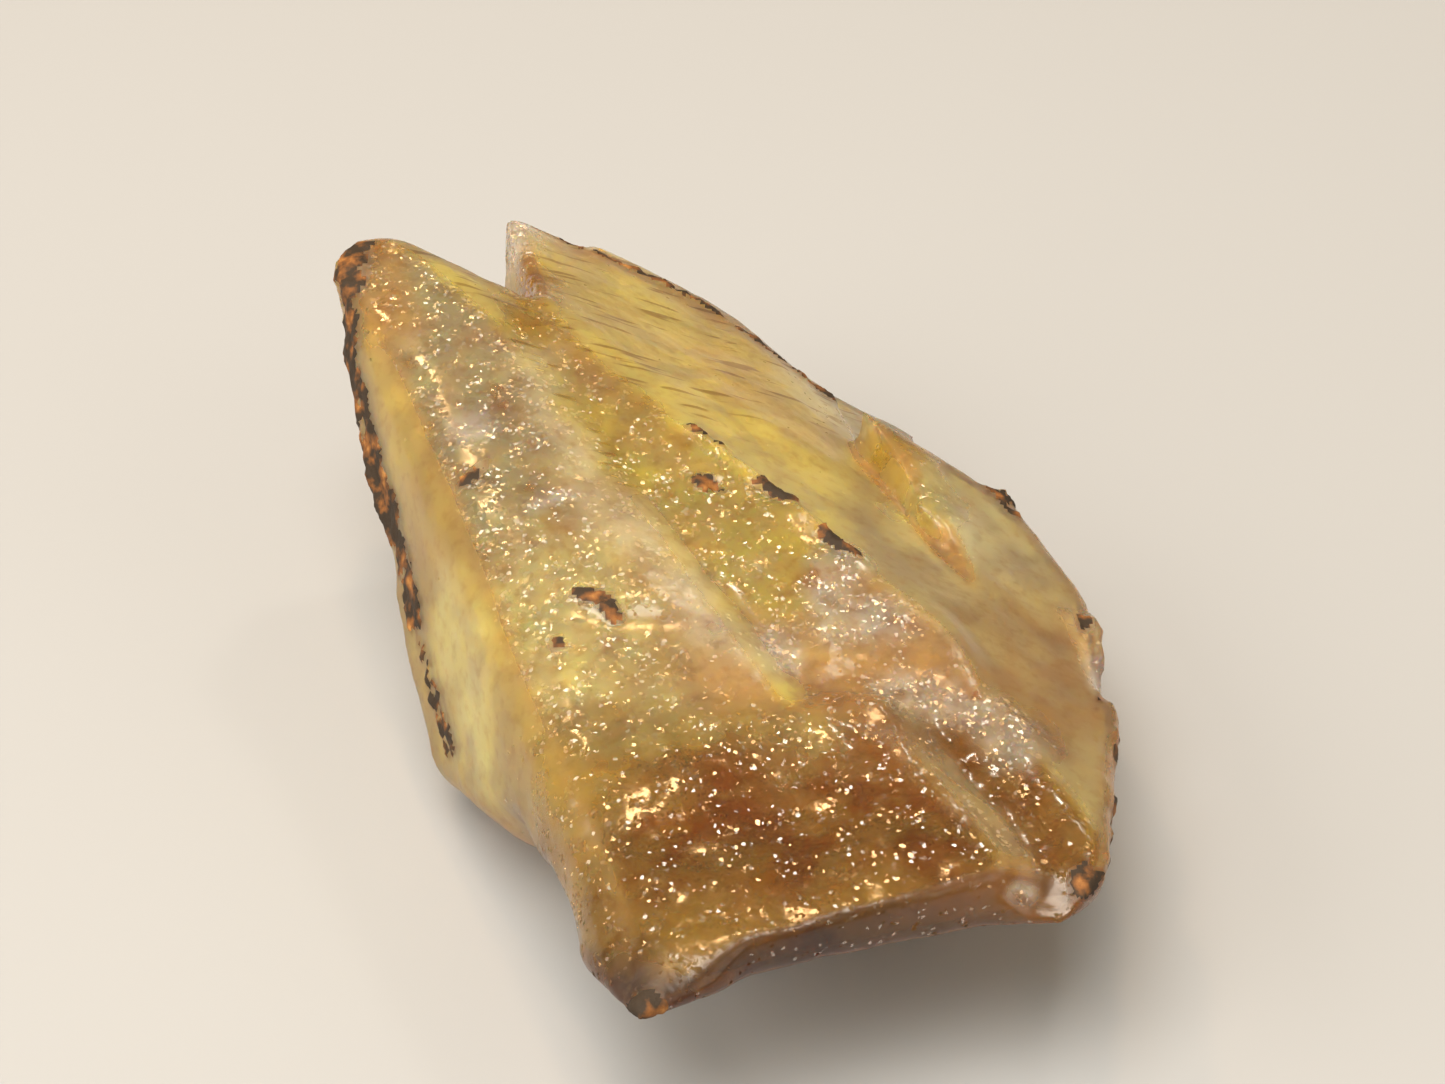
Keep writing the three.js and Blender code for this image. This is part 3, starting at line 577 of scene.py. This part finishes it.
# %% Etched faces group
def etched_faces():
    """Breaks the surface into small cells and turns some of them to one of two fixed directions.

    Share is how many of the cells are turned, and Spread how much their directions differ.
    """
    group = bpy.data.node_groups.new("Etched Faces", "ShaderNodeTree")
    face = group.interface
    for name, kind in (
        ("Normal", "NodeSocketVector"), ("Face A", "NodeSocketVector"), ("Face B", "NodeSocketVector"),
        ("Scale", "NodeSocketFloat"), ("Share", "NodeSocketFloat"), ("Spread", "NodeSocketFloat"),
    ):
        face.new_socket(name, in_out="INPUT", socket_type=kind)
    face.new_socket("Normal", in_out="OUTPUT", socket_type="NodeSocketVector")
    source = add_node(group, "NodeGroupInput")
    target = add_node(group, "NodeGroupOutput")
    place = add_node(group, "ShaderNodeTexCoord")
    cells = add_node(group, "ShaderNodeTexVoronoi", voronoi_dimensions="3D", feature="F1")
    group.links.new(place.outputs["Object"], cells.inputs["Vector"])
    group.links.new(source.outputs["Scale"], cells.inputs["Scale"])
    lot = add_node(group, "ShaderNodeTexWhiteNoise", noise_dimensions="3D")
    group.links.new(cells.outputs["Position"], lot.inputs["Vector"])
    chosen = add_node(group, "ShaderNodeMath", operation="LESS_THAN")
    group.links.new(lot.outputs["Value"], chosen.inputs[0])
    group.links.new(source.outputs["Share"], chosen.inputs[1])
    parts = add_node(group, "ShaderNodeSeparateColor")
    group.links.new(lot.outputs["Color"], parts.inputs["Color"])
    second = add_node(group, "ShaderNodeMath", operation="GREATER_THAN")
    second.inputs[1].default_value = 0.5
    group.links.new(parts.outputs["Green"], second.inputs[0])
    way = add_node(group, "ShaderNodeMix", data_type="VECTOR")
    group.links.new(second.outputs[0], way.inputs["Factor"])
    group.links.new(source.outputs["Face A"], way.inputs[4])
    group.links.new(source.outputs["Face B"], way.inputs[5])
    turned = add_node(
        group, "ShaderNodeVectorTransform", vector_type="NORMAL", convert_from="OBJECT", convert_to="WORLD"
    )
    group.links.new(way.outputs[1], turned.inputs["Vector"])
    centred = add_node(group, "ShaderNodeVectorMath", operation="SUBTRACT")
    centred.inputs[1].default_value = (0.5, 0.5, 0.5)
    group.links.new(cells.outputs["Color"], centred.inputs[0])
    apart = add_node(group, "ShaderNodeVectorMath", operation="SCALE")
    group.links.new(centred.outputs[0], apart.inputs[0])
    group.links.new(source.outputs["Spread"], apart.inputs["Scale"])
    etched = add_node(group, "ShaderNodeVectorMath", operation="ADD")
    group.links.new(turned.outputs["Vector"], etched.inputs[0])
    group.links.new(apart.outputs[0], etched.inputs[1])
    straight = add_node(group, "ShaderNodeVectorMath", operation="NORMALIZE")
    group.links.new(etched.outputs[0], straight.inputs[0])
    result = add_node(group, "ShaderNodeMix", data_type="VECTOR")
    group.links.new(chosen.outputs[0], result.inputs["Factor"])
    group.links.new(source.outputs["Normal"], result.inputs[4])
    group.links.new(straight.outputs[0], result.inputs[5])
    group.links.new(result.outputs[1], target.inputs["Normal"])
    return group


ETCHED_FACES = etched_faces()

# %% Calcite material
calcite, tree, output = new_material("honey calcite")
links = tree.links
shader = add_node(tree, "ShaderNodeBsdfPrincipled")
links.new(shader.outputs["BSDF"], output.inputs["Surface"])
shader.inputs["IOR"].default_value = 1.58
shader.inputs["Transmission Weight"].default_value = 0.85
shader.inputs["Subsurface Weight"].default_value = 1.0
shader.inputs["Subsurface Radius"].default_value = (1.0, 0.62, 0.3)
shader.inputs["Subsurface Scale"].default_value = 0.9 * MM

absorb = add_node(tree, "ShaderNodeVolumeAbsorption")
absorb.inputs["Color"].default_value = (0.98, 0.71, 0.12, 1)
absorb.inputs["Density"].default_value = 130
links.new(absorb.outputs["Volume"], output.inputs["Volume"])


def painted(name):
    """What was painted on the points under that name."""
    return add_node(tree, "ShaderNodeAttribute", attribute_name=name).outputs["Fac"]


def mixed(colour, other, share):
    """A colour with so much of another over it."""
    mix = add_node(tree, "ShaderNodeMix", data_type="RGBA")
    links.new(colour, mix.inputs["A"])
    mix.inputs["B"].default_value = (*other, 1)
    links.new(share, mix.inputs["Factor"])
    return mix.outputs["Result"]


def product(one, other):
    """Two numbers multiplied."""
    times = add_node(tree, "ShaderNodeMath", operation="MULTIPLY")
    links.new(one, times.inputs[0])
    if isinstance(other, (int, float)):
        times.inputs[1].default_value = other
    else:
        links.new(other, times.inputs[1])
    return times.outputs[0]


def stepped(value, low, high, bottom=0.0, top=1.0):
    """A number spread from bottom to top as value goes from low to high."""
    spread = add_node(tree, "ShaderNodeMapRange")
    links.new(value, spread.inputs["Value"])
    for socket, number in zip(("From Min", "From Max", "To Min", "To Max"), (low, high, bottom, top)):
        spread.inputs[socket].default_value = number
    return spread.outputs["Result"]


place = add_node(tree, "ShaderNodeTexCoord")


def noise_texture(scale, detail, along=None, stretch=1.0):
    """Noise with lumps of 1 / scale metres, stretched along a direction where one is given."""
    texture = add_node(tree, "ShaderNodeTexNoise")
    texture.inputs["Scale"].default_value = scale
    texture.inputs["Detail"].default_value = detail
    if along is None:
        links.new(place.outputs["Object"], texture.inputs["Vector"])
        return texture.outputs["Fac"]
    turned = add_node(tree, "ShaderNodeMapping", vector_type="TEXTURE")
    turned.inputs["Rotation"].default_value = Vector(along).to_track_quat("X", "Z").to_euler()
    turned.inputs["Scale"].default_value = (stretch, 1, 1)
    links.new(place.outputs["Object"], turned.inputs["Vector"])
    links.new(turned.outputs["Vector"], texture.inputs["Vector"])
    return texture.outputs["Fac"]


DOWN_THE_ROOF = (0.884, 0.124, -0.451)
colour = add_node(tree, "ShaderNodeAttribute", attribute_name="skin").outputs["Color"]
wisp = stepped(noise_texture(420, 3, AXIS, 3), 0.48, 0.72, 0.0, 0.6)
colour = mixed(colour, (0.95, 0.86, 0.62), product(wisp, painted("wisps")))
speck = stepped(noise_texture(1500, 2), 0.50, 0.72, 0.0, 0.35)
colour = mixed(colour, (0.45, 0.26, 0.07), speck)
stain = stepped(noise_texture(380, 3), 0.52, 0.70, 0.0, 0.4)
colour = mixed(colour, (0.55, 0.24, 0.04), product(stain, painted("glitter")))
dash = stepped(noise_texture(1700, 1, DOWN_THE_ROOF, 7), 0.60, 0.67)
colour = mixed(colour, (0.30, 0.17, 0.04), product(product(dash, painted("dashes")), 0.8))
links.new(colour, shader.inputs["Base Color"])

bump = add_node(tree, "ShaderNodeBump")
bump.inputs["Strength"].default_value = 0.5
bump.inputs["Distance"].default_value = 0.05 * MM
links.new(
    product(noise_texture(1100, 2), stepped(painted("frost"), 0.1, 0.5, 1.0, 2.2)), bump.inputs["Height"]
)
facets = add_node(tree, "ShaderNodeGroup", node_tree=ETCHED_FACES)
facets.inputs["Scale"].default_value = 5500
facets.inputs["Spread"].default_value = 0.17
facets.inputs["Face A"].default_value = facing(-45, 75.5)
facets.inputs["Face B"].default_value = facing(-138, 74.5)
clusters = stepped(noise_texture(850, 2), 0.41, 0.63, 0.04, 0.75)
links.new(product(clusters, painted("glitter")), facets.inputs["Share"])
links.new(bump.outputs["Normal"], facets.inputs["Normal"])
links.new(facets.outputs["Normal"], shader.inputs["Normal"])
links.new(stepped(painted("frost"), 0, 1, 0.07, 0.6), shader.inputs["Roughness"])

# %% Iron crust material
rust, tree, output = new_material("iron crust")
links = tree.links
shader = add_node(tree, "ShaderNodeBsdfPrincipled")
links.new(shader.outputs["BSDF"], output.inputs["Surface"])
shader.inputs["Roughness"].default_value = 0.75
place = add_node(tree, "ShaderNodeTexCoord")
shades = add_node(tree, "ShaderNodeValToRGB")
shades.color_ramp.elements[0].position = 0.48
shades.color_ramp.elements[0].color = (0.03, 0.016, 0.006, 1)
shades.color_ramp.elements[1].position = 0.76
shades.color_ramp.elements[1].color = (0.52, 0.24, 0.06, 1)
middle = shades.color_ramp.elements.new(0.61)
middle.color = (0.22, 0.08, 0.015, 1)
links.new(noise_texture(900, 4), shades.inputs["Fac"])
links.new(shades.outputs["Color"], shader.inputs["Base Color"])
bump = add_node(tree, "ShaderNodeBump")
bump.inputs["Strength"].default_value = 0.8
bump.inputs["Distance"].default_value = 0.1 * MM
links.new(noise_texture(3000, 3), bump.inputs["Height"])
links.new(bump.outputs["Normal"], shader.inputs["Normal"])

# %% Put the materials on the stone
fine.materials.clear()
fine.materials.append(calcite)
fine.materials.append(rust)
corners = np.empty(len(fine.polygons) * 4, dtype=np.int64)
fine.polygons.foreach_get("vertices", corners)
face_crust = crust[corners.reshape(-1, 4)].mean(axis=1)
fine.polygons.foreach_set("material_index", (face_crust > 0.5).astype(np.int32))
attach(stone, "root")
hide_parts("calcite_crystal")
print("stone:", [round(v / MM, 1) for v in stone.dimensions], "mm")

# %% [markdown]
# ## The cloud inside
# Milky calcite is full of tiny bubbles just under its clear skin. A second surface, about a
# millimetre inside the first, stands for them. It shows the painted colour as a soft solid where
# the calcite is cloudy, and isn't there at all where it is clear.

# %% Cloud
CLOUD_DEPTH = 0.9
LEAST_DEPTH = 0.5

inside = points - broad * CLOUD_DEPTH
for step in range(16):
    inside += 0.5 * (neighbour_mean(inside) - inside)
below = ((points - inside) * normals).sum(axis=1)
inside -= normals * np.clip(LEAST_DEPTH - below, 0, None)[:, None]
inside[:, 2] = np.maximum(inside[:, 2], LEAST_DEPTH)
cloud_mesh = fine.copy()
cloud_mesh.name = "calcite_cloud"
cloud_mesh.vertices.foreach_set("co", (inside * MM).ravel())
cloud_mesh.update()
cloud_piece = bpy.data.objects.new("calcite_cloud", cloud_mesh)
bpy.context.collection.objects.link(cloud_piece)

milk, tree, output = new_material("milky calcite")
links = tree.links
shader = add_node(tree, "ShaderNodeBsdfPrincipled")
links.new(shader.outputs["BSDF"], output.inputs["Surface"])
shader.inputs["Roughness"].default_value = 0.9
shader.inputs["Specular IOR Level"].default_value = 0.0
cloud_node = add_node(tree, "ShaderNodeAttribute", attribute_name="cloud")
place = add_node(tree, "ShaderNodeTexCoord")
milky = add_node(tree, "ShaderNodeAttribute", attribute_name="milk").outputs["Color"]
flush = stepped(noise_texture(500, 3), 0.50, 0.68, 0.0, 0.55)
links.new(mixed(milky, (0.50, 0.27, 0.06), flush), shader.inputs["Base Color"])
bubbles = add_node(tree, "ShaderNodeTexNoise")
bubbles.inputs["Scale"].default_value = 320
bubbles.inputs["Detail"].default_value = 3
bubbles.inputs["Roughness"].default_value = 0.62
links.new(place.outputs["Object"], bubbles.inputs["Vector"])
patchy = add_node(tree, "ShaderNodeMath", operation="MULTIPLY_ADD")
links.new(bubbles.outputs["Fac"], patchy.inputs[0])
patchy.inputs[1].default_value = 2.0
patchy.inputs[2].default_value = -1.0
shown = add_node(tree, "ShaderNodeMath", operation="ADD", use_clamp=True)
links.new(patchy.outputs[0], shown.inputs[0])
links.new(cloud_node.outputs["Fac"], shown.inputs[1])
links.new(shown.outputs[0], shader.inputs["Alpha"])
cloud_mesh.materials.clear()
cloud_mesh.materials.append(milk)
cloud_mesh.polygons.foreach_set("material_index", np.zeros(len(cloud_mesh.polygons), dtype=np.int32))
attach(cloud_piece, "root")
print("cloud:", len(cloud_mesh.vertices), "points")

# %% [markdown]
# ## Floor and light

# %% Floor
floor_mesh = bpy.data.meshes.new("floor")
floor_mesh.from_pydata([(-2, -2, 0), (2, -2, 0), (2, 2, 0), (-2, 2, 0)], [], [(0, 1, 2, 3)])
floor = bpy.data.objects.new("floor", floor_mesh)
bpy.context.collection.objects.link(floor)
paper = bpy.data.materials.new("pale paper")
paper.use_nodes = True
sheet_shader = paper.node_tree.nodes["Principled BSDF"]
sheet_shader.inputs["Base Color"].default_value = (0.42, 0.435, 0.465, 1)
sheet_shader.inputs["Roughness"].default_value = 0.9
floor_mesh.materials.append(paper)

# %% Lights
def softbox(name, place, size, watts, colour=(1, 1, 1)):
    """A square lamp that looks at the stone. place is in metres."""
    lamp = bpy.data.lights.new(name, "AREA")
    lamp.shape = "SQUARE"
    lamp.size = size
    lamp.energy = watts
    lamp.color = colour
    stand = bpy.data.objects.new(name, lamp)
    bpy.context.collection.objects.link(stand)
    stand.location = place
    stand.rotation_euler = (Vector((0, 0, 0.01)) - Vector(place)).to_track_quat("-Z", "Y").to_euler()
    return stand


softbox("overhead", (-0.10, -0.14, 0.54), 0.36, 3.8, (1.0, 0.92, 0.79))
softbox("left fill", (-0.42, -0.18, 0.28), 0.36, 1.6, (1.0, 0.92, 0.79))
softbox("right fill", (0.40, -0.20, 0.30), 0.36, 0.5, (1.0, 0.92, 0.79))
softbox("white spark", (0.14, 0.26, 0.43), 0.045, 0.22, (1.0, 0.90, 0.74))
softbox("warm spark, left", (-0.16, 0.26, 0.43), 0.04, 0.3, (1.0, 0.60, 0.27))
softbox("warm spark, high", (-0.01, 0.13, 0.50), 0.04, 0.3, (1.0, 0.60, 0.27))

world = bpy.data.worlds.new("studio")
world.use_nodes = True
world.node_tree.nodes["Background"].inputs["Color"].default_value = (1.0, 0.88, 0.66, 1)
world.node_tree.nodes["Background"].inputs["Strength"].default_value = 0.32
bpy.context.scene.world = world
bpy.context.scene.view_settings.view_transform = "Standard"
